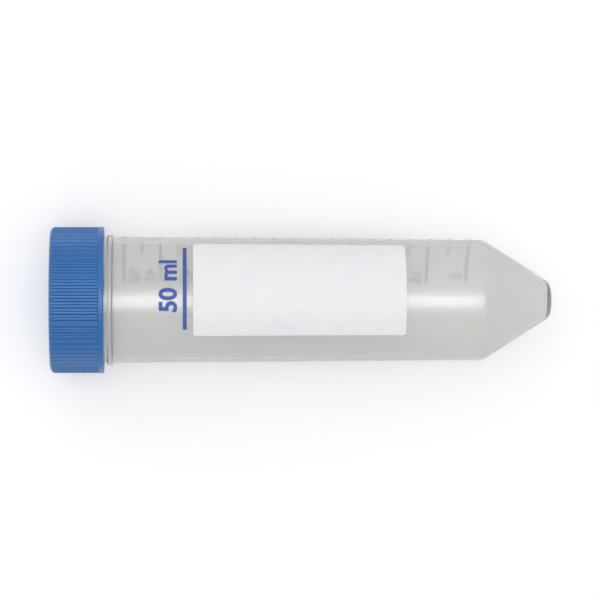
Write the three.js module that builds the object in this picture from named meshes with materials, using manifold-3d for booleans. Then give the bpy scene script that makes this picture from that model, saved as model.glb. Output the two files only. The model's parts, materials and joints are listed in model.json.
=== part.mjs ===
// A 50 ml conical tube with its screw cap on, lying on its side as it comes to rest.
//
// Millimetres. Both mouldings are drawn in the tube's own frame: the origin is at the tip, +Z runs
// up the axis to the cap, and +X points out through the side that lies uppermost. The last section
// lays them down, cap towards -X and tip towards +X, with +Z up.

import * as THREE from 'three';
import { mergeVertices } from 'three/addons/utils/BufferGeometryUtils.js';
import Module from 'manifold-3d';

// The tube's outside
const TUBE_LENGTH = 115.0; // tip to lip
const BARREL_RADIUS = 14.75; // just under the collar
const BARREL_TAPER = 0.65; // by which the barrel is smaller at the shoulder, to leave its mould
const CONE_HEIGHT = 16.0; // tip to shoulder
const CONE_TIP_RADIUS = 3.9; // where the cone's side would meet the plane of the tip
const TIP_ROUNDING = 3.0; // leaves a small flat at the very end
const SHOULDER_ROUNDING = 3.0;

// The tube's inside
const WALL = 1.15;
const TIP_FLOOR = 1.5;

// The neck
const NECK_HEIGHT = 11.1; // collar to lip
const NECK_WALL = 1.0; // at the root of the thread
const LIP_ROUNDING = 0.35;
const COLLAR_HEIGHT = 1.3;
const COLLAR_PROUD = 0.6; // of the barrel
const COLLAR_ROUNDING = 0.35;

// The thread on the neck: one start, a coarse bead with sloping flanks
const THREAD_PITCH = 4.0;
const THREAD_HEIGHT = 0.85;
const THREAD_ROOT_WIDTH = 2.0;
const THREAD_CREST_WIDTH = 0.9;
const THREAD_TOP_MARGIN = 1.6; // plain neck above the bead
const THREAD_BOTTOM_MARGIN = 0.5; // plain neck below it
const THREAD_RUNOUT = 0.12; // turns over which each end rises out of the neck
const THREAD_BURIED = 0.3; // how far the bead's foot reaches into the neck's wall

// The cap
const CAP_PLATE = 2.0;
const CAP_EDGE_ROUNDING = 1.5;
const SKIRT_WALL = 0.95; // between the ribs
const RIB_COUNT = 72;
const RIB_DEPTH = 0.35;
const RIB_ROOT_SHARE = 0.62; // of the pitch, at a rib's foot
const RIB_CREST_SHARE = 0.3; // of the pitch, at its crest
const RIM_HEIGHT = 1.3; // the smooth band round the open end
const RIM_PROUD = 0.1; // of the ribs
const RIM_ROUNDING = 0.25;
const PLUG_DEPTH = 2.9; // the seal ring that enters the mouth
const PLUG_THICKNESS = 1.0;
const PLUG_LEAD = 0.4; // taper at its free edge

// Clearances between the two
const SEAT_GAP = 0.3; // lip to the underside of the plate
const PLUG_GAP = 0.3; // seal ring to the mouth
const THREAD_GAP = 0.3; // thread crest to the bore of the cap
const COLLAR_GAP = 0.8; // collar to the rim of the cap

// Facets
const SEGMENTS = 72; // round the axis
const ARC_STEPS = 4;
const SMALL_ARC_STEPS = 2; // on a rounding under SMALL_ROUNDING
const SMALL_ROUNDING = 1.0;

// What follows for the tube
const COLLAR_TOP = TUBE_LENGTH - NECK_HEIGHT;
const COLLAR_BOTTOM = COLLAR_TOP - COLLAR_HEIGHT;
const COLLAR_RADIUS = BARREL_RADIUS + COLLAR_PROUD;
const SHOULDER_RADIUS = BARREL_RADIUS - BARREL_TAPER;
const MOUTH_RADIUS = BARREL_RADIUS - WALL;
const NECK_RADIUS = MOUTH_RADIUS + NECK_WALL;
const THREAD_RADIUS = NECK_RADIUS + THREAD_HEIGHT;
const CONE_LEAN = Math.atan2(SHOULDER_RADIUS - CONE_TIP_RADIUS, CONE_HEIGHT);
const BARREL_LEAN = Math.atan2(BARREL_TAPER, COLLAR_BOTTOM - CONE_HEIGHT);

// What follows for the cap
const PLATE_UNDERSIDE = TUBE_LENGTH + SEAT_GAP;
const CAP_TOP = PLATE_UNDERSIDE + CAP_PLATE;
const CAP_RIM = COLLAR_TOP + COLLAR_GAP;
const CAP_BORE_RADIUS = THREAD_RADIUS + THREAD_GAP;
const RIB_ROOT_RADIUS = CAP_BORE_RADIUS + SKIRT_WALL;
const RIB_RADIUS = RIB_ROOT_RADIUS + RIB_DEPTH;
const CAP_RADIUS = RIB_RADIUS + RIM_PROUD;
const PLUG_RADIUS = MOUTH_RADIUS - PLUG_GAP;

const wasm = await Module();
wasm.setup();

// ---------------------------------------------------------------- outlines and solids

// Points on an arc in the (radius, height) plane. Angles run anticlockwise from the radius axis.
function arc(radius, height, rounding, from, to) {
  const steps = rounding < SMALL_ROUNDING ? SMALL_ARC_STEPS : ARC_STEPS;
  const points = [];
  for (let i = 0; i <= steps; i += 1) {
    const angle = from + ((to - from) * i) / steps;
    const x = radius + rounding * Math.cos(angle);
    points.push(new THREE.Vector2(x, height + rounding * Math.sin(angle)));
  }
  return points;
}

const at = (radius, height) => new THREE.Vector2(radius, height);

// A corner between two straight sides that lean out from the axis by the angles `below` and
// `above`, rounded on the side away from the axis when `below` is the larger angle.
function roundedCorner(corner, below, above, rounding) {
  const half = (below - above) / 2;
  const reach = rounding / Math.cos(half);
  const towards = (below + above) / 2;
  const centreRadius = corner.x - reach * Math.cos(towards);
  const centreHeight = corner.y + reach * Math.sin(towards);
  return arc(centreRadius, centreHeight, rounding, -below, -above);
}

// A turned solid about Z. A flat, not an edge between two flats, faces straight down when it lies.
function revolve(outline) {
  const geometry = new THREE.LatheGeometry(outline, SEGMENTS);
  geometry.rotateX(Math.PI / 2);
  geometry.rotateZ(Math.PI / SEGMENTS);
  return toManifold(geometry);
}

function toManifold(geometry) {
  geometry.deleteAttribute('normal');
  geometry.deleteAttribute('uv');
  const merged = mergeVertices(geometry);
  const corners = merged.index.array;
  const triangles = [];
  for (let i = 0; i < corners.length; i += 3) {
    const [a, b, c] = corners.slice(i, i + 3);
    if (a !== b && b !== c && c !== a) triangles.push(a, b, c);
  }
  return new wasm.Manifold(
    new wasm.Mesh({
      numProp: 3,
      vertProperties: new Float32Array(merged.attributes.position.array),
      triVerts: new Uint32Array(triangles),
    }),
  );
}

function toMesh(name, solid, material) {
  const { vertProperties, triVerts } = solid.getMesh();
  const geometry = new THREE.BufferGeometry();
  geometry.setAttribute('position', new THREE.BufferAttribute(vertProperties, 3));
  geometry.setIndex(new THREE.BufferAttribute(triVerts, 1));
  geometry.computeVertexNormals();
  const mesh = new THREE.Mesh(geometry, material);
  mesh.name = name;
  return mesh;
}

// ---------------------------------------------------------------- the tube

// Up the outside, from the middle of the tip to the collar.
function barrelOutside() {
  const tip = at(CONE_TIP_RADIUS, 0);
  const shoulder = at(SHOULDER_RADIUS, CONE_HEIGHT);
  return [
    at(0, 0),
    ...roundedCorner(tip, Math.PI / 2, CONE_LEAN, TIP_ROUNDING),
    ...roundedCorner(shoulder, CONE_LEAN, BARREL_LEAN, SHOULDER_ROUNDING),
    at(BARREL_RADIUS, COLLAR_BOTTOM),
  ];
}

// The ring that the cap stops above, the plain neck and the lip.
function neckOutside() {
  const ring = COLLAR_RADIUS - COLLAR_ROUNDING;
  return [
    ...arc(ring, COLLAR_BOTTOM + COLLAR_ROUNDING, COLLAR_ROUNDING, -Math.PI / 2, 0),
    ...arc(ring, COLLAR_TOP - COLLAR_ROUNDING, COLLAR_ROUNDING, 0, Math.PI / 2),
    at(NECK_RADIUS, COLLAR_TOP),
    ...arc(NECK_RADIUS - LIP_ROUNDING, TUBE_LENGTH - LIP_ROUNDING, LIP_ROUNDING, 0, Math.PI / 2),
  ];
}

// Down the inside, from the lip to the middle of the floor at the tip.
function bore() {
  const lip = arc(
    MOUTH_RADIUS + LIP_ROUNDING,
    TUBE_LENGTH - LIP_ROUNDING,
    LIP_ROUNDING,
    Math.PI / 2,
    Math.PI,
  );
  const coneShift = WALL / Math.cos(CONE_LEAN);
  const floorRadius = CONE_TIP_RADIUS - coneShift + TIP_FLOOR * Math.tan(CONE_LEAN);
  const floor = roundedCorner(at(floorRadius, TIP_FLOOR), Math.PI / 2, CONE_LEAN, TIP_ROUNDING - WALL);
  const shoulderRise = (coneShift - WALL) / Math.tan(CONE_LEAN);
  const corner = at(SHOULDER_RADIUS - WALL, CONE_HEIGHT + shoulderRise);
  const shoulder = roundedCorner(corner, CONE_LEAN, BARREL_LEAN, SHOULDER_ROUNDING - WALL);
  const barrel = at(MOUTH_RADIUS, COLLAR_BOTTOM);
  return [...lip, barrel, ...shoulder.reverse(), ...floor.reverse(), at(0, TIP_FLOOR)];
}

// One coarse bead that climbs the neck. Its section is a trapezium whose foot is sunk in the wall,
// and both its ends rise gently out of the neck.
function threadBead() {
  const bottom = COLLAR_TOP + THREAD_BOTTOM_MARGIN + THREAD_ROOT_WIDTH / 2;
  const top = TUBE_LENGTH - THREAD_TOP_MARGIN - THREAD_ROOT_WIDTH / 2;
  const allTurns = (top - bottom) / THREAD_PITCH;
  const steps = Math.round(allTurns * SEGMENTS);
  const foot = NECK_RADIUS - THREAD_BURIED;
  const vertices = [];
  for (let i = 0; i <= steps; i += 1) {
    const turns = (allTurns * i) / steps;
    const toEnd = Math.min(turns, allTurns - turns);
    const rise = Math.min(1, toEnd / THREAD_RUNOUT);
    const crest = NECK_RADIUS - THREAD_BURIED / 2 + (THREAD_HEIGHT + THREAD_BURIED / 2) * rise;
    const angle = turns * 2 * Math.PI + Math.PI / SEGMENTS;
    const height = bottom + turns * THREAD_PITCH;
    const section = [
      [foot, -THREAD_ROOT_WIDTH / 2],
      [crest, -THREAD_CREST_WIDTH / 2],
      [crest, THREAD_CREST_WIDTH / 2],
      [foot, THREAD_ROOT_WIDTH / 2],
    ];
    for (const [radius, up] of section) {
      vertices.push(radius * Math.cos(angle), radius * Math.sin(angle), height + up);
    }
  }
  const faces = [];
  for (let i = 0; i < steps; i += 1) {
    for (let j = 0; j < 4; j += 1) {
      const a = 4 * i + j;
      const b = 4 * i + ((j + 1) % 4);
      faces.push(a, a + 4, b, b, a + 4, b + 4);
    }
  }
  const last = 4 * steps;
  faces.push(0, 1, 2, 0, 2, 3, last, last + 2, last + 1, last, last + 3, last + 2);
  const geometry = new THREE.BufferGeometry();
  geometry.setAttribute('position', new THREE.Float32BufferAttribute(vertices, 3));
  geometry.setIndex(faces);
  return toManifold(geometry);
}

function tubeBody() {
  const turned = revolve([...barrelOutside(), ...neckOutside(), ...bore()]);
  const material = new THREE.MeshStandardMaterial({
    color: '#d6d9d8',
    roughness: 0.15,
    metalness: 0,
    transparent: true,
    opacity: 0.4,
  });
  return toMesh('tube_body', turned.add(threadBead()), material);
}

// ---------------------------------------------------------------- the cap

// The outline that the ribs would leave if they ran the whole height of the cap.
function ribbedBlank() {
  const pitch = (2 * Math.PI) / RIB_COUNT;
  const outline = [];
  for (let i = 0; i < RIB_COUNT; i += 1) {
    const corners = [
      [-RIB_ROOT_SHARE / 2, RIB_ROOT_RADIUS],
      [-RIB_CREST_SHARE / 2, RIB_RADIUS],
      [RIB_CREST_SHARE / 2, RIB_RADIUS],
      [RIB_ROOT_SHARE / 2, RIB_ROOT_RADIUS],
    ];
    for (const [share, radius] of corners) {
      const angle = (i + share) * pitch;
      outline.push(new THREE.Vector2(radius * Math.cos(angle), radius * Math.sin(angle)));
    }
  }
  const shape = new THREE.Shape(outline);
  const depth = CAP_TOP - CAP_RIM;
  const geometry = new THREE.ExtrudeGeometry(shape, { depth, bevelEnabled: false });
  geometry.translate(0, 0, CAP_RIM);
  return toManifold(geometry);
}

// The cap without its ribs: a plain disc with a rounded upper edge.
function capEnvelope() {
  const edge = CAP_RADIUS - CAP_EDGE_ROUNDING;
  return revolve([
    at(0, CAP_RIM),
    at(CAP_RADIUS, CAP_RIM),
    ...arc(edge, CAP_TOP - CAP_EDGE_ROUNDING, CAP_EDGE_ROUNDING, 0, Math.PI / 2),
    at(0, CAP_TOP),
  ]);
}

// The smooth band round the open end.
function rimBand() {
  const outer = CAP_RADIUS - RIM_ROUNDING;
  const upper = CAP_RIM + RIM_HEIGHT - RIM_ROUNDING;
  const inner = CAP_BORE_RADIUS + RIM_ROUNDING;
  return revolve([
    at(inner, CAP_RIM),
    ...arc(outer, CAP_RIM + RIM_ROUNDING, RIM_ROUNDING, -Math.PI / 2, 0),
    ...arc(outer, upper, RIM_ROUNDING, 0, Math.PI / 2),
    at(inner, CAP_RIM + RIM_HEIGHT),
    at(inner, CAP_RIM),
  ]);
}

// The hollow under the plate, run out past the rim so that the cut is clean.
function capHollow() {
  return revolve([
    at(0, CAP_RIM - 1),
    at(CAP_BORE_RADIUS, CAP_RIM - 1),
    at(CAP_BORE_RADIUS, PLATE_UNDERSIDE),
    at(0, PLATE_UNDERSIDE),
  ]);
}

// The ring that plugs the mouth, with its upper end inside the plate.
function plugRing() {
  const inner = PLUG_RADIUS - PLUG_THICKNESS;
  const root = PLATE_UNDERSIDE + CAP_PLATE / 4;
  const end = PLATE_UNDERSIDE - PLUG_DEPTH;
  return revolve([
    at(inner, end),
    at(PLUG_RADIUS - PLUG_LEAD, end),
    at(PLUG_RADIUS, end + 2 * PLUG_LEAD),
    at(PLUG_RADIUS, root),
    at(inner, root),
    at(inner, end),
  ]);
}

function screwCap() {
  const solid = ribbedBlank()
    .intersect(capEnvelope())
    .add(rimBand())
    .subtract(capHollow())
    .add(plugRing());
  const material = new THREE.MeshStandardMaterial({ color: '#1d5aa8', roughness: 0.4, metalness: 0 });
  return toMesh('screw_cap', solid, material);
}

// ---------------------------------------------------------------- laid down

// The lean of the axis when the rim of the cap and the shoulder both touch the surface: the
// shallowest line from the rim to any point of the barrel's outline.
function restLean() {
  const slopes = barrelOutside().map((p) => (CAP_RADIUS - p.x) / (CAP_RIM + RIM_ROUNDING - p.y));
  return Math.atan(Math.cos(Math.PI / SEGMENTS) * Math.min(...slopes));
}

const laid = new THREE.Group();
laid.add(tubeBody(), screwCap());
laid.rotation.y = restLean() - Math.PI / 2;

// The lowest point comes to Z = 0, and the middle of the whole to X = 0.
const extent = new THREE.Box3().setFromObject(laid, true);
laid.position.x = -(extent.min.x + extent.max.x) / 2;
laid.position.z = -extent.min.z;

const conicalTube = new THREE.Group();
conicalTube.add(laid);

export default conicalTube;
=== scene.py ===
"""The looks of a 50 ml conical tube with its screw cap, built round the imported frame.

Both mouldings are drawn in the tube's own frame: millimetres, origin at the tip, +Z up the axis to
the cap, +X out through the side that lies uppermost. One matrix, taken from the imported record, lays
that frame down in the row frame, in metres. Angles round the tube run from +X towards +Y.
"""

import json
import math

import bmesh
import bpy
from mathutils import Matrix, Vector
from mathutils.geometry import delaunay_2d_cdt


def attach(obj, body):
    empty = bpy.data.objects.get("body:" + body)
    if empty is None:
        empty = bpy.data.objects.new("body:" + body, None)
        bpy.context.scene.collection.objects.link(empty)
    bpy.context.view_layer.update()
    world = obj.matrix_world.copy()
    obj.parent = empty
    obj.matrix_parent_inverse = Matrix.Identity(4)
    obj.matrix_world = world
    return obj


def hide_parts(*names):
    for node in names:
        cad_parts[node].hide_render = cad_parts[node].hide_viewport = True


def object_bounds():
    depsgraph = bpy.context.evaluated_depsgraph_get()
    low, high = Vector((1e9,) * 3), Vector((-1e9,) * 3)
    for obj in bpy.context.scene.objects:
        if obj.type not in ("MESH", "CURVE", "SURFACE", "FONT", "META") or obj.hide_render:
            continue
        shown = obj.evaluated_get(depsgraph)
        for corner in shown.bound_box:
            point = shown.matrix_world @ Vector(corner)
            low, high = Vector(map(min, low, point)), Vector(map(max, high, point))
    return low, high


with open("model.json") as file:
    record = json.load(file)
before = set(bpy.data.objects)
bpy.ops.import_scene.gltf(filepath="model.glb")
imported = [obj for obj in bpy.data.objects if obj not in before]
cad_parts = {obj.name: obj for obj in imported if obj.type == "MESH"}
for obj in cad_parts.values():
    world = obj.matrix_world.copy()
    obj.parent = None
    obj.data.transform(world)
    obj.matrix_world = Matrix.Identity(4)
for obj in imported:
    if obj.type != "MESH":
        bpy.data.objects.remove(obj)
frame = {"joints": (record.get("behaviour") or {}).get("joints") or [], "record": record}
cad_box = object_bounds()

MM = 0.001
MM3_PER_ML = 1000

# ---------------------------------------------------------------- driving sizes, in millimetres

# The tube
TUBE_LENGTH = 115.0
BARREL_RADIUS = 14.75  # just under the collar
BARREL_TAPER = 0.65  # smaller than that at the shoulder
CONE_HEIGHT = 16.0
CONE_TIP_RADIUS = 3.9  # where the cone's side would meet the plane of the tip
TIP_ROUNDING = 3.0
SHOULDER_ROUNDING = 3.0
WALL = 1.15
TIP_FLOOR = 1.5
GATE_RADIUS = 0.9  # the dimple at the tip where the mould was filled
GATE_DEPTH = 0.3

# The neck
NECK_HEIGHT = 11.1
NECK_WALL = 1.0
LIP_ROUNDING = 0.35
COLLAR_HEIGHT = 1.3
COLLAR_PROUD = 0.6
COLLAR_ROUNDING = 0.35

# The thread, one start: the cap's bead runs in the groove under the neck's
THREAD_PITCH = 4.0
THREAD_HEIGHT = 0.85
THREAD_ROOT_WIDTH = 2.0
THREAD_CREST_WIDTH = 0.9
THREAD_TOP_MARGIN = 1.6
THREAD_BOTTOM_MARGIN = 0.5
THREAD_RUNOUT = 0.12  # turns over which an end rises
CAP_THREAD_ROOT_WIDTH = 1.6
CAP_THREAD_CREST_WIDTH = 0.6
CAP_THREAD_TURNS = 1.4
THREAD_STEP = 0.16  # between the rows of mesh that carry a thread
PARTING_LINE = 0.05  # how far the neck mould's two joints stand out

# The cap
CAP_PLATE = 2.0
CAP_EDGE_ROUNDING = 1.5
SKIRT_WALL = 0.95
RIB_COUNT = 72
RIB_DEPTH = 0.35
RIB_ROOT_SHARE = 0.62  # of the pitch, at a rib's foot
RIB_CREST_SHARE = 0.3  # of the pitch, at its crest
RIM_HEIGHT = 1.3
RIM_PROUD = 0.1
RIM_ROUNDING = 0.25
PLUG_DEPTH = 2.9
PLUG_THICKNESS = 1.0
PLUG_LEAD = 0.4
CAP_GATE_RADIUS = 0.7  # the mark in the middle of the top where the mould was filled
CAP_GATE_DEPTH = 0.15
CAP_DISH_RADIUS = 3.0  # the shallow dish that keeps it below the top
CAP_DISH_DEPTH = 0.2

# Clearances
SEAT_GAP = 0.3
PLUG_GAP = 0.3
THREAD_GAP = 0.3
COLLAR_GAP = 0.8

# The printing, in arc lengths round the barrel and heights along it
INK_LIFT = 0.015  # a layer of ink starts this far off the wall
INK_THICKNESS = 0.035
INK_SLICE = 0.4  # arc length between the creases that bend a flat print round the barrel
SCALE_LEFT_DEG = 85.0  # where every line of the scale starts, round the tube
SHORT_LINE = 10.4
LONG_LINE = 19.4
LINE_WIDTH = 0.45
LINES_ML = [2.5 * step for step in range(2, 21)]
NUMBERED_ML = 5.0  # a long line and its numeral come every so many millilitres
NUMERAL_HEIGHT = 2.7
NUMERAL_LIFT = 1.1  # from its line up to its foot
NUMERAL_MIDDLE = 17.6  # from the left ends of the lines
NUMERAL_BOLDNESS = 0.005  # how far a stroke's sides move out, as a share of the size of the type
PATCH_MIDDLE_DEG = 14.0
PATCH_ARC = 24.5
PATCH_LENGTH = 49.3
PATCH_BELOW_RIM = 20.7  # from the rim of the cap down to the patch
PATCH_CORNER = 0.9
MARK_BELOW_RIM = 12.7  # from the rim of the cap down to the blue mark
MARK_NUMERAL_HEIGHT = 4.3
MARK_BOLDNESS = 0.03
MARK_RULE_WIDTH = 0.9
MARK_RULE_LENGTH = 21.0
MARK_RULE_GAP = 1.3

# How fine the meshes are
TUBE_COLUMNS = 256
RIB_SIDE_STEPS = 4  # across each side of a rib
ARC_STEPS = 8
SMALL_ARC_STEPS = 4  # on a rounding under SMALL_ROUNDING
SMALL_ROUNDING = 1.0
LETTER_STEPS = 8  # along each curve in a letter's outline
INK_SNAP = 0.02  # corners and creases of a flat print that are nearer than this are drawn together
SHARP_DEG = 48  # an edge that turns more than this keeps its crease
WELD = 0.001  # points nearer than this are one

# ---------------------------------------------------------------- what follows from them

COLLAR_TOP = TUBE_LENGTH - NECK_HEIGHT
COLLAR_BOTTOM = COLLAR_TOP - COLLAR_HEIGHT
COLLAR_RADIUS = BARREL_RADIUS + COLLAR_PROUD
SHOULDER_RADIUS = BARREL_RADIUS - BARREL_TAPER
MOUTH_RADIUS = BARREL_RADIUS - WALL
NECK_RADIUS = MOUTH_RADIUS + NECK_WALL
CONE_LEAN = math.atan2(SHOULDER_RADIUS - CONE_TIP_RADIUS, CONE_HEIGHT)
BARREL_LEAN = math.atan2(BARREL_TAPER, COLLAR_BOTTOM - CONE_HEIGHT)
PRINT_RADIUS = BARREL_RADIUS - BARREL_TAPER / 2  # the barrel's mean, where arc lengths are measured
CONE_SHIFT = WALL / math.cos(CONE_LEAN)  # the cone's wall, measured level
FLOOR_RADIUS = CONE_TIP_RADIUS - CONE_SHIFT + TIP_FLOOR * math.tan(CONE_LEAN)

PLATE_UNDERSIDE = TUBE_LENGTH + SEAT_GAP
CAP_TOP = PLATE_UNDERSIDE + CAP_PLATE
CAP_RIM = COLLAR_TOP + COLLAR_GAP
CAP_BORE_RADIUS = NECK_RADIUS + THREAD_HEIGHT + THREAD_GAP
RIB_ROOT_RADIUS = CAP_BORE_RADIUS + SKIRT_WALL
CAP_RADIUS = RIB_ROOT_RADIUS + RIB_DEPTH + RIM_PROUD
PLUG_RADIUS = MOUTH_RADIUS - PLUG_GAP

THREAD_START = COLLAR_TOP + THREAD_BOTTOM_MARGIN + THREAD_ROOT_WIDTH / 2
THREAD_END = TUBE_LENGTH - THREAD_TOP_MARGIN - THREAD_ROOT_WIDTH / 2
THREAD_TURNS = (THREAD_END - THREAD_START) / THREAD_PITCH
QUARTER = math.pi / 2


def laid_down():
    """The tube's frame in the row frame, from the middle of the cap's top and the way the cap lifts."""
    axis = Vector(frame["joints"][0]["axis"]).normalized()
    cap_top = Vector(frame["record"]["mounts"][0]["pos_m"])
    across = Vector((0, 1, 0))  # level, however the tube leans
    up = across.cross(axis)
    turn = Matrix((up, across, axis)).transposed().to_4x4()
    return Matrix.Translation(cap_top - axis * CAP_TOP * MM) @ turn


TUBE_FRAME = laid_down()

# ---------------------------------------------------------------- camera, floor and light

# In metres, and in the row frame
CAMERA_HEIGHT = 0.95
SHARE_OF_WIDTH = 0.84  # of the picture, that the tube fills
FLOOR_WIDTH = 8.0
ROOM_LIGHT = 0.55
FLOOR_LIFT = 0.17  # what the lamps leave the paper short of white

# A lamp is its size in degrees and its strength. The key is three in one place, so its edge is soft.
KEY_RINGS = [(20, 0.22), (34, 0.35), (50, 0.4)]
KEY_FROM = (0.07, -0.04, 1.0)
FILL = (80, 0.45)
FILL_FROM = (-0.5, 0.6, 0.8)


def linear(code):
    """An sRGB hex colour as linear red, green, blue and alpha."""
    parts = [int(code[i : i + 2], 16) / 255 for i in (1, 3, 5)]
    curve = [part / 12.92 if part <= 0.04045 else ((part + 0.055) / 1.055) ** 2.4 for part in parts]
    return (*curve, 1.0)


def add(tree, kind, inputs=None, **settings):
    """Adds a node with its settings. An input is given a value, or the socket that feeds it.

    Inputs go by name, or by number where a node has several of one name, as a colour mix has.
    """
    node = tree.nodes.new(kind)
    for name, value in settings.items():
        setattr(node, name, value)
    for name, value in (inputs or {}).items():
        if isinstance(value, bpy.types.NodeSocket):
            tree.links.new(value, node.inputs[name])
        else:
            node.inputs[name].default_value = value
    return node


def new_material(name):
    """A material with an empty node tree, and its tree."""
    material = bpy.data.materials.new(name)
    material.use_nodes = True
    material.node_tree.nodes.clear()
    return material, material.node_tree


def aim(obj, place, target):
    """Puts an object at a place, looking at a target, with the row's +Y up where it looks down."""
    direction = Vector(target) - Vector(place)
    obj.location = place
    obj.rotation_euler = direction.to_track_quat("-Z", "Y").to_euler()


def make_camera():
    """Straight above, with the tube filling its share of the picture's width."""
    low, high = (Vector(corner) for corner in cad_box)
    middle = (low + high) / 2
    data = bpy.data.cameras.new("camera")
    width = (high.x - low.x) / SHARE_OF_WIDTH
    distance = CAMERA_HEIGHT - middle.z
    data.lens = data.sensor_width * distance / width
    camera = bpy.data.objects.new("camera", data)
    aim(camera, middle + Vector((0, 0, distance)), middle)
    bpy.context.scene.collection.objects.link(camera)
    bpy.context.scene.camera = camera


def seen_rays(tree):
    """1 where the eye looks, also by way of a gloss or a clear wall, and 0 where only light goes."""
    path = add(tree, "ShaderNodeLightPath")
    straight, mirrored, through = (
        path.outputs[name] for name in ("Is Camera Ray", "Is Glossy Ray", "Is Transmission Ray")
    )
    either = add(tree, "ShaderNodeMath", {0: straight, 1: mirrored}, operation="MAXIMUM")
    return add(tree, "ShaderNodeMath", {0: either.outputs[0], 1: through}, operation="MAXIMUM").outputs[0]


def floor_material():
    """Matt white paper: its own light from the lamps, lifted to white where the eye sees it."""
    material, tree = new_material("white_paper")
    paper = add(tree, "ShaderNodeBsdfDiffuse", {"Color": linear("#f4f4f4")})
    lift = add(tree, "ShaderNodeMath", {0: seen_rays(tree), 1: FLOOR_LIFT}, operation="MULTIPLY")
    glow = add(tree, "ShaderNodeEmission", {"Color": linear("#ffffff"), "Strength": lift.outputs[0]})
    both = add(tree, "ShaderNodeAddShader", {0: paper.outputs[0], 1: glow.outputs[0]})
    add(tree, "ShaderNodeOutputMaterial", {"Surface": both.outputs[0]})
    return material


def make_floor():
    """A wide sheet of paper that the tube lies on."""
    half = FLOOR_WIDTH / 2
    corners = [(-half, -half, 0), (half, -half, 0), (half, half, 0), (-half, half, 0)]
    mesh = bpy.data.meshes.new("floor")
    mesh.from_pydata(corners, [], [range(len(corners))])
    mesh.materials.append(floor_material())
    floor = bpy.data.objects.new("floor", mesh)
    bpy.context.scene.collection.objects.link(floor)


def make_world():
    """A pale room that lights the object, and is plain white where the eye sees it."""
    world = bpy.data.worlds.new("studio")
    world.use_nodes = True
    tree = world.node_tree
    tree.nodes.clear()
    room = add(tree, "ShaderNodeBackground", {"Color": linear("#ffffff"), "Strength": ROOM_LIGHT})
    white = add(tree, "ShaderNodeBackground", {"Color": linear("#ffffff"), "Strength": 1.0})
    mix = add(tree, "ShaderNodeMixShader", {0: seen_rays(tree), 1: room.outputs[0], 2: white.outputs[0]})
    add(tree, "ShaderNodeOutputWorld", {"Surface": mix.outputs[0]})
    bpy.context.scene.world = world


def make_sun(name, size_deg, strength, direction):
    """A far lamp in a direction from the tube, as large as it looks from there."""
    data = bpy.data.lights.new(name, "SUN")
    data.energy = strength
    data.angle = math.radians(size_deg)
    sun = bpy.data.objects.new(name, data)
    aim(sun, direction, (0, 0, 0))
    bpy.context.scene.collection.objects.link(sun)


def make_light():
    """The room, a soft key nearly overhead and a broad fill."""
    make_world()
    for size, strength in KEY_RINGS:
        make_sun(f"key_{size}", size, strength, KEY_FROM)
    make_sun("fill", *FILL, FILL_FROM)


# ---------------------------------------------------------------- outlines and turned meshes


def arc(radius, height, rounding, start, end):
    """Points on an arc in the (radius, height) plane; angles run anticlockwise from the radius axis."""
    steps = SMALL_ARC_STEPS if rounding < SMALL_ROUNDING else ARC_STEPS
    points = []
    for i in range(steps + 1):
        angle = start + (end - start) * i / steps
        points.append((radius + rounding * math.cos(angle), height + rounding * math.sin(angle)))
    return points


def rounded_corner(radius, height, below, above, rounding):
    """The arc that rounds a corner between two sides which lean out by the angles below and above."""
    reach = rounding / math.cos((below - above) / 2)
    towards = (below + above) / 2
    centre = (radius - reach * math.cos(towards), height + reach * math.sin(towards))
    return arc(*centre, rounding, -below, -above)


def rows_between(low, high, step):
    """Heights from low to high in even steps of about the given size, both ends included."""
    count = math.ceil((high - low) / step)
    return [low + (high - low) * i / count for i in range(count + 1)]


def turned(sections, angles):
    """Vertices and faces of an outline turned about the axis, on which it starts and ends.

    A section is its points and, where it isn't plain, a function that gives the radius there from the
    plain radius, the height and the angle.
    """
    columns = len(angles)
    rows = [(*point, shape) for points, shape in sections for point in points]
    vertices = [(0, 0, rows[0][1])]
    for radius, height, shape in rows[1:-1]:
        for angle in angles:
            out = shape(radius, height, angle) if shape else radius
            vertices.append((out * math.cos(angle), out * math.sin(angle), height))
    vertices.append((0, 0, rows[-1][1]))
    top = len(vertices) - 1 - columns
    faces = []
    for column in range(columns):
        beside = (column + 1) % columns
        faces.append((0, 1 + beside, 1 + column))
        for row in range(1, top, columns):
            faces.append((row + column, row + beside, row + columns + beside, row + columns + column))
        faces.append((top + column, top + beside, len(vertices) - 1))
    return vertices, faces


def make_piece(name, vertices, faces, material, body, nodes=()):
    """A smooth mesh given in millimetres in the tube's frame, riding on a body.

    It stands in for the CAD nodes that are named.
    """
    mesh = bpy.data.meshes.new(name)
    mesh.from_pydata([Vector(vertex) * MM for vertex in vertices], [], faces)
    work = bmesh.new()
    work.from_mesh(mesh)
    bmesh.ops.remove_doubles(work, verts=work.verts, dist=WELD * MM)
    bmesh.ops.dissolve_degenerate(work, edges=work.edges, dist=WELD * MM)
    work.to_mesh(mesh)
    work.free()
    mesh.polygons.foreach_set("use_smooth", [True] * len(mesh.polygons))
    mesh.set_sharp_from_angle(angle=math.radians(SHARP_DEG))
    mesh.materials.append(material)
    piece = bpy.data.objects.new(name, mesh)
    piece.matrix_world = TUBE_FRAME
    bpy.context.scene.collection.objects.link(piece)
    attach(piece, body)
    if nodes:
        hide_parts(*nodes)


# ---------------------------------------------------------------- threads


def smooth(share):
    """0 to 1 with level ends."""
    share = min(max(share, 0), 1)
    return share * share * (3 - 2 * share)


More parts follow.
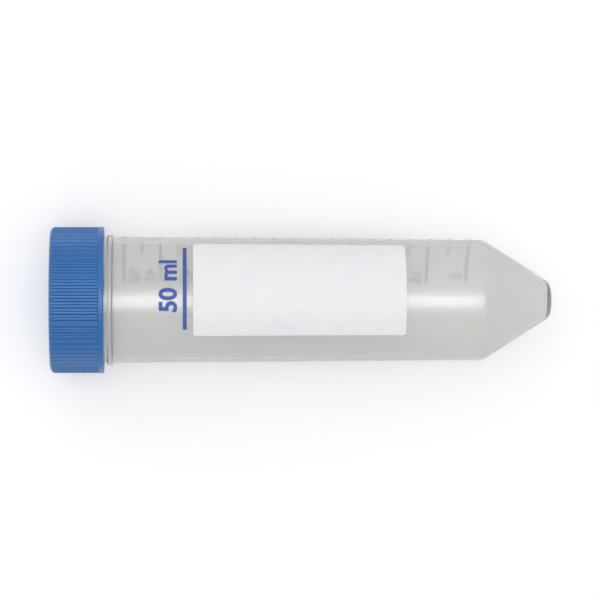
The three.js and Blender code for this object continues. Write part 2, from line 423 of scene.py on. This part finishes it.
def bead(angle, height, start, turns, root, crest):
    """From 0 to 1, how far a helical bead stands out at a point of the wall."""
    turn = round((height - start) / THREAD_PITCH - angle / (2 * math.pi))
    along = turn + angle / (2 * math.pi)
    if not 0 <= along <= turns:
        return 0
    off = abs(height - start - along * THREAD_PITCH)
    across = (root / 2 - off) / (root / 2 - crest / 2)
    return smooth(across) * smooth(min(along, turns - along) / THREAD_RUNOUT)


# ---------------------------------------------------------------- the tube


def neck_wall(radius, height, angle):
    """The neck with its thread, and the fine lines where the two halves of its mould met."""
    out = THREAD_HEIGHT * bead(
        angle, height, THREAD_START, THREAD_TURNS, THREAD_ROOT_WIDTH, THREAD_CREST_WIDTH
    )
    on_parting = abs(math.cos(angle)) < math.sin(math.pi / TUBE_COLUMNS)  # one column on each side
    return radius + out + (PARTING_LINE if on_parting else 0)


def tube_sections():
    """Up the outside from the middle of the tip, over the lip and down the inside."""
    collar = COLLAR_RADIUS - COLLAR_ROUNDING
    lip_height = TUBE_LENGTH - LIP_ROUNDING
    outside = [
        (0, GATE_DEPTH),
        (GATE_RADIUS, GATE_DEPTH),
        (GATE_RADIUS, 0),
        *rounded_corner(CONE_TIP_RADIUS, 0, QUARTER, CONE_LEAN, TIP_ROUNDING),
        *rounded_corner(SHOULDER_RADIUS, CONE_HEIGHT, CONE_LEAN, BARREL_LEAN, SHOULDER_ROUNDING),
        (BARREL_RADIUS, COLLAR_BOTTOM),
        *arc(collar, COLLAR_BOTTOM + COLLAR_ROUNDING, COLLAR_ROUNDING, -QUARTER, 0),
        *arc(collar, COLLAR_TOP - COLLAR_ROUNDING, COLLAR_ROUNDING, 0, QUARTER),
    ]
    neck = [(NECK_RADIUS, height) for height in rows_between(COLLAR_TOP, lip_height, THREAD_STEP)]
    floor = rounded_corner(FLOOR_RADIUS, TIP_FLOOR, QUARTER, CONE_LEAN, TIP_ROUNDING - WALL)
    rise = (CONE_SHIFT - WALL) / math.tan(CONE_LEAN)
    shoulder = rounded_corner(
        SHOULDER_RADIUS - WALL, CONE_HEIGHT + rise, CONE_LEAN, BARREL_LEAN, SHOULDER_ROUNDING - WALL
    )
    inside = [
        *arc(NECK_RADIUS - LIP_ROUNDING, lip_height, LIP_ROUNDING, 0, QUARTER)[1:],
        *arc(MOUTH_RADIUS + LIP_ROUNDING, lip_height, LIP_ROUNDING, QUARTER, math.pi),
        (MOUTH_RADIUS, COLLAR_BOTTOM),
        *reversed(shoulder),
        *reversed(floor),
        (0, TIP_FLOOR),
    ]
    return [(outside, None), (neck, neck_wall), (inside, None)]


def make_tube(material):
    """The clear moulding: body, collar, neck and thread in one."""
    angles = [2 * math.pi * column / TUBE_COLUMNS for column in range(TUBE_COLUMNS)]
    vertices, faces = turned(tube_sections(), angles)
    make_piece("tube", vertices, faces, material, "tube", ["tube_body"])


# ---------------------------------------------------------------- the cap


def rib_radius(angle):
    """The radius over the ribs at an angle: rounded crests with sloping sides."""
    off = abs((angle * RIB_COUNT / (2 * math.pi) + 0.5) % 1 - 0.5)
    side = (RIB_ROOT_SHARE / 2 - off) / (RIB_ROOT_SHARE / 2 - RIB_CREST_SHARE / 2)
    return RIB_ROOT_RADIUS + RIB_DEPTH * smooth(side)


def rib_angles():
    """The angles of the cap's columns: the middles of the crests and roots, and close steps between."""
    crest, root = RIB_CREST_SHARE / 2, RIB_ROOT_SHARE / 2
    side = [crest + (root - crest) * i / RIB_SIDE_STEPS for i in range(RIB_SIDE_STEPS + 1)]
    shares = [0, *side, 0.5, *(1 - share for share in reversed(side))]
    return [2 * math.pi * (rib + share) / RIB_COUNT for rib in range(RIB_COUNT) for share in shares]


def cap_bore(radius, height, angle):
    """The bore with its thread, half a pitch off the neck's."""
    start = THREAD_START + THREAD_PITCH / 2
    return radius - THREAD_HEIGHT * bead(
        angle, height, start, CAP_THREAD_TURNS, CAP_THREAD_ROOT_WIDTH, CAP_THREAD_CREST_WIDTH
    )


def rim_ledge(radius, height, angle):
    """The top of the rim, in as far as the ribs."""
    return max(radius, rib_radius(angle))


def ribbed_wall(radius, height, angle):
    """The ribs, cut off by the rounded edge of the top."""
    return min(radius, rib_radius(angle))


def cap_sections():
    """Out under the plate, over the seal ring, down the bore, round the rim and up over the ribs."""
    plug_inner = PLUG_RADIUS - PLUG_THICKNESS
    plug_end = PLATE_UNDERSIDE - PLUG_DEPTH + PLUG_LEAD
    plug = [
        (0, PLATE_UNDERSIDE),
        (plug_inner, PLATE_UNDERSIDE),
        *arc(plug_inner + PLUG_LEAD, plug_end, PLUG_LEAD, math.pi, 3 * QUARTER),
        *arc(PLUG_RADIUS - PLUG_LEAD, plug_end, PLUG_LEAD, -QUARTER, 0),
        (PLUG_RADIUS, PLATE_UNDERSIDE),
        (CAP_BORE_RADIUS, PLATE_UNDERSIDE),
    ]
    foot = CAP_RIM + RIM_ROUNDING
    rows = rows_between(foot, PLATE_UNDERSIDE, THREAD_STEP)
    bore = [(CAP_BORE_RADIUS, height) for height in reversed(rows[:-1])]
    rim_radius = CAP_RADIUS - RIM_ROUNDING
    rim_top = CAP_RIM + RIM_HEIGHT
    rim = [
        *arc(CAP_BORE_RADIUS + RIM_ROUNDING, foot, RIM_ROUNDING, math.pi, 3 * QUARTER)[1:],
        *arc(rim_radius, foot, RIM_ROUNDING, -QUARTER, 0),
    ]
    ledge = arc(rim_radius, rim_top - RIM_ROUNDING, RIM_ROUNDING, 0, QUARTER)
    edge = CAP_RADIUS - CAP_EDGE_ROUNDING
    edge_height = CAP_TOP - CAP_EDGE_ROUNDING
    ribs = [(CAP_RADIUS, rim_top), *arc(edge, edge_height, CAP_EDGE_ROUNDING, 0, QUARTER)]
    dish = CAP_TOP - CAP_DISH_DEPTH
    gate = dish - CAP_GATE_DEPTH
    top = [
        (CAP_DISH_RADIUS, CAP_TOP),
        (CAP_DISH_RADIUS, dish),
        (CAP_GATE_RADIUS, dish),
        (CAP_GATE_RADIUS, gate),
        (0, gate),
    ]
    return [
        (plug, None),
        (bore, cap_bore),
        (rim, None),
        (ledge, rim_ledge),
        (ribs, ribbed_wall),
        (top, None),
    ]


def make_cap(material):
    """The blue moulding: plate, seal ring, thread, rim and ribs in one."""
    vertices, faces = turned(cap_sections(), rib_angles())
    make_piece("cap", vertices, faces, material, "cap", ["screw_cap"])


# ---------------------------------------------------------------- the printing


def barrel_radius(height):
    """The outside of the barrel, from the shoulder to the collar."""
    return BARREL_RADIUS - BARREL_TAPER * (COLLAR_BOTTOM - height) / (COLLAR_BOTTOM - CONE_HEIGHT)


def arc_length(degrees):
    """From +X round to an angle, on the barrel."""
    return math.radians(degrees) * PRINT_RADIUS


def volume_below(height):
    """Millilitres in the upright tube up to a height above the inner shoulder."""
    low = SHOULDER_RADIUS - WALL
    high = barrel_radius(height) - WALL
    cone = frustum(FLOOR_RADIUS, low, CONE_HEIGHT - TIP_FLOOR)
    return (cone + frustum(low, high, height - CONE_HEIGHT)) / MM3_PER_ML


def frustum(low, high, height):
    """The volume of a cut cone, from the radius of each end."""
    return math.pi * height * (low * low + low * high + high * high) / 3


def height_of(millilitres):
    """The height that a volume fills the upright tube to, by halving the interval."""
    low, high = CONE_HEIGHT, COLLAR_BOTTOM
    while high - low > WELD:
        middle = (low + high) / 2
        if volume_below(middle) < millilitres:
            low = middle
        else:
            high = middle
    return low


def rectangle(left, bottom, width, height, corner=0):
    """The outline of a rectangle in a flat print, with rounded corners if wanted."""
    near_left, near_right = left + corner, left + width - corner
    near_foot, near_top = bottom + corner, bottom + height - corner
    return [
        *arc(near_right, near_top, corner, 0, QUARTER),
        *arc(near_left, near_top, corner, QUARTER, math.pi),
        *arc(near_left, near_foot, corner, math.pi, 3 * QUARTER),
        *arc(near_right, near_foot, corner, 3 * QUARTER, 4 * QUARTER),
    ]


def lettering(text, middle, foot, height, boldness):
    """The outlines of a line of type in a flat print, which have the ink on their left."""
    curve = bpy.data.curves.new("lettering", "FONT")
    curve.body = text
    curve.align_x = "CENTER"
    curve.resolution_u = LETTER_STEPS
    curve.fill_mode = "NONE"
    holder = bpy.data.objects.new("lettering", curve)
    mesh = holder.to_mesh()
    outlines = [[]]
    for edge in mesh.edges:
        start, end = edge.vertices
        outlines[-1].append(mesh.vertices[start].co.xy)
        if end < start:  # the side that closes an outline
            outlines.append([])
    outlines = [widened(outline, boldness) for outline in outlines[:-1]]
    holder.to_mesh_clear()
    bpy.data.objects.remove(holder)
    bpy.data.curves.remove(curve)
    heights = [point.y for outline in outlines for point in outline]
    size = height / (max(heights) - min(heights))
    origin = Vector((middle, foot - min(heights) * size))
    return [[origin + point * size for point in outline] for outline in outlines]


def widened(outline, by):
    """A closed outline with every side moved to its right, away from the ink."""
    moved = []
    for before, here, after in zip(outline[-1:] + outline[:-1], outline, outline[1:] + outline[:1]):
        first, second = (Vector((side.y, -side.x)).normalized() for side in (here - before, after - here))
        moved.append(here + (first + second) * by / (1 + first.dot(second)))
    return moved


def is_inked(point, sides):
    """Whether closed outlines, given as their sides, wind round a point. They may overlap."""
    turns = 0
    for start, end in sides:
        if (start.y > point.y) != (end.y > point.y):
            crossing = start.x + (end.x - start.x) * (point.y - start.y) / (end.y - start.y)
            if crossing > point.x:
                turns += 1 if end.y > start.y else -1
    return turns != 0


def fill(outlines):
    """Corners and faces that fill outlines of a flat print, and meet on creases where it will bend."""
    points = [Vector(point) for outline in outlines for point in outline]
    edges = []
    for outline in outlines:
        first, count = len(edges), len(outline)
        edges += [(first + i, first + (i + 1) % count) for i in range(count)]
    sides = [(points[start], points[end]) for start, end in edges]
    left, right = min(point.x for point in points), max(point.x for point in points)
    foot, top = min(point.y for point in points), max(point.y for point in points)
    for crease in range(math.ceil(left / INK_SLICE), math.ceil(right / INK_SLICE)):
        edges.append((len(points), len(points) + 1))
        points += [Vector((crease * INK_SLICE, foot)), Vector((crease * INK_SLICE, top))]
    corners, _, faces, *_ = delaunay_2d_cdt(points, edges, [], 0, INK_SNAP)
    inked = []
    for face in faces:
        middle = sum((corners[i] for i in face), Vector((0, 0))) / len(face)
        if is_inked(middle, sides):
            inked.append(face)
    used = sorted({i for face in inked for i in face})  # a crease has corners outside the ink
    number = {corner: i for i, corner in enumerate(used)}
    return [corners[i] for i in used], [[number[i] for i in face] for face in inked]


def on_barrel(along, height, lift):
    """A point of a flat print, bent round the barrel and lifted off it."""
    radius = barrel_radius(height) + lift
    angle = along / PRINT_RADIUS
    return radius * math.cos(angle), radius * math.sin(angle), height


def wrap(shapes, name, material):
    """Makes a piece of a flat print's shapes, each a list of outlines: a layer of ink on the barrel."""
    vertices, faces = [], []
    for outlines in shapes:
        corners, inked = fill(outlines)
        under = len(vertices)
        over = under + len(corners)
        for lift in (INK_LIFT, INK_LIFT + INK_THICKNESS):
            vertices += [on_barrel(*corner, lift) for corner in corners]
        faces += [[under + i for i in reversed(face)] for face in inked]
        faces += [[over + i for i in face] for face in inked]
        sides = [(face[i - 1], face[i]) for face in inked for i in range(len(face))]
        border = sorted(set(sides) - {(end, start) for start, end in sides})
        faces += [(under + start, under + end, over + end, over + start) for start, end in border]
    make_piece(name, vertices, faces, material, "tube")


def make_scale(material):
    """Lines at the heights that their volumes fill, and a numeral over each long one.

    The numeral goes under its line where the collar leaves no room over it.
    """
    shapes = []
    left = arc_length(SCALE_LEFT_DEG)
    for volume in LINES_ML:
        height = height_of(volume)
        numbered = volume % NUMBERED_ML == 0
        length = LONG_LINE if numbered else SHORT_LINE
        shapes.append([rectangle(left, height - LINE_WIDTH / 2, length, LINE_WIDTH)])
        if numbered:
            above = height + NUMERAL_LIFT
            has_room = above + NUMERAL_HEIGHT < COLLAR_BOTTOM
            foot = above if has_room else height - NUMERAL_LIFT - NUMERAL_HEIGHT
            middle = left + NUMERAL_MIDDLE
            shapes.append(lettering(f"{volume:.0f}", middle, foot, NUMERAL_HEIGHT, NUMERAL_BOLDNESS))
    wrap(shapes, "scale_print", material)


def make_patch(material):
    """The place to write on."""
    left = arc_length(PATCH_MIDDLE_DEG) - PATCH_ARC / 2
    bottom = CAP_RIM - PATCH_BELOW_RIM - PATCH_LENGTH
    patch = rectangle(left, bottom, PATCH_ARC, PATCH_LENGTH, PATCH_CORNER)
    wrap([[patch]], "writing_patch", material)


def make_mark(material):
    """The capacity, over a plain rule."""
    middle = arc_length(PATCH_MIDDLE_DEG)
    foot = CAP_RIM - MARK_BELOW_RIM - MARK_NUMERAL_HEIGHT
    capacity = lettering("50 ml", middle, foot, MARK_NUMERAL_HEIGHT, MARK_BOLDNESS)
    rule_foot = foot - MARK_RULE_GAP - MARK_RULE_WIDTH
    rule = rectangle(middle - MARK_RULE_LENGTH / 2, rule_foot, MARK_RULE_LENGTH, MARK_RULE_WIDTH)
    wrap([capacity, [rule]], "capacity_mark", material)


# ---------------------------------------------------------------- materials


def grain(tree, size_mm, stretch=1.0):
    """A noise on the object, with features of the given size, drawn out along the axis by the stretch.

    Most of it lies between 0.3 and 0.7, which is spread to between 0 and 1.
    """
    place = add(tree, "ShaderNodeTexCoord")
    fitted = add(
        tree, "ShaderNodeMapping", {"Vector": place.outputs["Object"], "Scale": (1, 1, 1 / stretch)}
    )
    noise = add(
        tree,
        "ShaderNodeTexNoise",
        {"Vector": fitted.outputs[0], "Scale": 1 / (size_mm * MM), "Detail": 3.0},
    )
    swing = add(
        tree,
        "ShaderNodeMapRange",
        {"Value": noise.outputs[0], "From Min": 0.3, "From Max": 0.7},
        clamp=False,
    )
    return swing.outputs[0]


def ink_material(name, first, second):
    """Screen-printed ink, matt and a little uneven where it soaked into the treated plastic."""
    material, tree = new_material(name)
    cloud = grain(tree, size_mm=4.0)
    pore = grain(tree, size_mm=0.4)  # the screen's 0.1 mm mesh, drawn coarser to show
    colour = add(tree, "ShaderNodeMix", {0: cloud, 6: linear(first), 7: linear(second)}, data_type="RGBA")
    roughness = add(tree, "ShaderNodeMapRange", {"Value": pore, "To Min": 0.5, "To Max": 0.64})
    relief = add(tree, "ShaderNodeBump", {"Height": pore, "Distance": 0.0008 * MM})
    ink = add(
        tree,
        "ShaderNodeBsdfPrincipled",
        {"Base Color": colour.outputs[2], "Roughness": roughness.outputs[0], "Normal": relief.outputs[0]},
    )
    add(tree, "ShaderNodeOutputMaterial", {"Surface": ink.outputs[0]})
    return material


def tube_material():
    """Natural polypropylene, injection moulded: clear, with a faint milky grey.

    Long shallow waves, drawn out by the flow of the melt, soften what shows through.
    """
    material, tree = new_material("natural_polypropylene_moulded")
    flow = grain(tree, size_mm=9.0, stretch=4)
    roughness = add(tree, "ShaderNodeMapRange", {"Value": flow, "To Min": 0.1, "To Max": 0.15})
    wave = add(tree, "ShaderNodeBump", {"Height": flow, "Distance": 0.0015 * MM})
    plastic = add(
        tree,
        "ShaderNodeBsdfPrincipled",
        {
            "Base Color": linear("#f6f6f5"),
            "Roughness": roughness.outputs[0],
            "IOR": 1.49,
            "Transmission Weight": 0.82,
            "Normal": wave.outputs[0],
        },
    )
    clear = add(tree, "ShaderNodeBsdfTransparent", {"Color": linear("#fafafa")})
    path = add(tree, "ShaderNodeLightPath")
    mix = add(
        tree,
        "ShaderNodeMixShader",
        {0: path.outputs["Is Shadow Ray"], 1: plastic.outputs[0], 2: clear.outputs[0]},
    )
    depth = add(tree, "ShaderNodeVolumeAbsorption", {"Color": linear("#c8c8c5"), "Density": 165.0})
    add(tree, "ShaderNodeOutputMaterial", {"Surface": mix.outputs[0], "Volume": depth.outputs[0]})
    return material


def cap_material():
    """Blue high-density polyethylene, injection moulded: satin, with a fine spark-eroded grain."""
    material, tree = new_material("blue_polyethylene_moulded")
    swirl = grain(tree, size_mm=6.0)
    pore = grain(tree, size_mm=0.3)  # the mould's 0.05 mm grain, drawn coarser to show
    colour = add(
        tree, "ShaderNodeMix", {0: swirl, 6: linear("#0a60a5"), 7: linear("#0f66ab")}, data_type="RGBA"
    )
    roughness = add(tree, "ShaderNodeMapRange", {"Value": pore, "To Min": 0.28, "To Max": 0.36})
    relief = add(tree, "ShaderNodeBump", {"Height": pore, "Distance": 0.0018 * MM})
    plastic = add(
        tree,
        "ShaderNodeBsdfPrincipled",
        {
            "Base Color": colour.outputs[2],
            "Roughness": roughness.outputs[0],
            "IOR": 1.53,
            "Normal": relief.outputs[0],
        },
    )
    add(tree, "ShaderNodeOutputMaterial", {"Surface": plastic.outputs[0]})
    return material


scene = bpy.context.scene
scene.view_settings.view_transform = "Standard"

make_camera()
make_floor()
make_light()
make_tube(tube_material())
make_cap(cap_material())
make_scale(ink_material("black_screen_ink", "#2a2b2e", "#36373a"))
make_patch(ink_material("white_screen_ink", "#ebedf0", "#f0f1f3"))
make_mark(ink_material("blue_screen_ink", "#3350a0", "#3b58a8"))
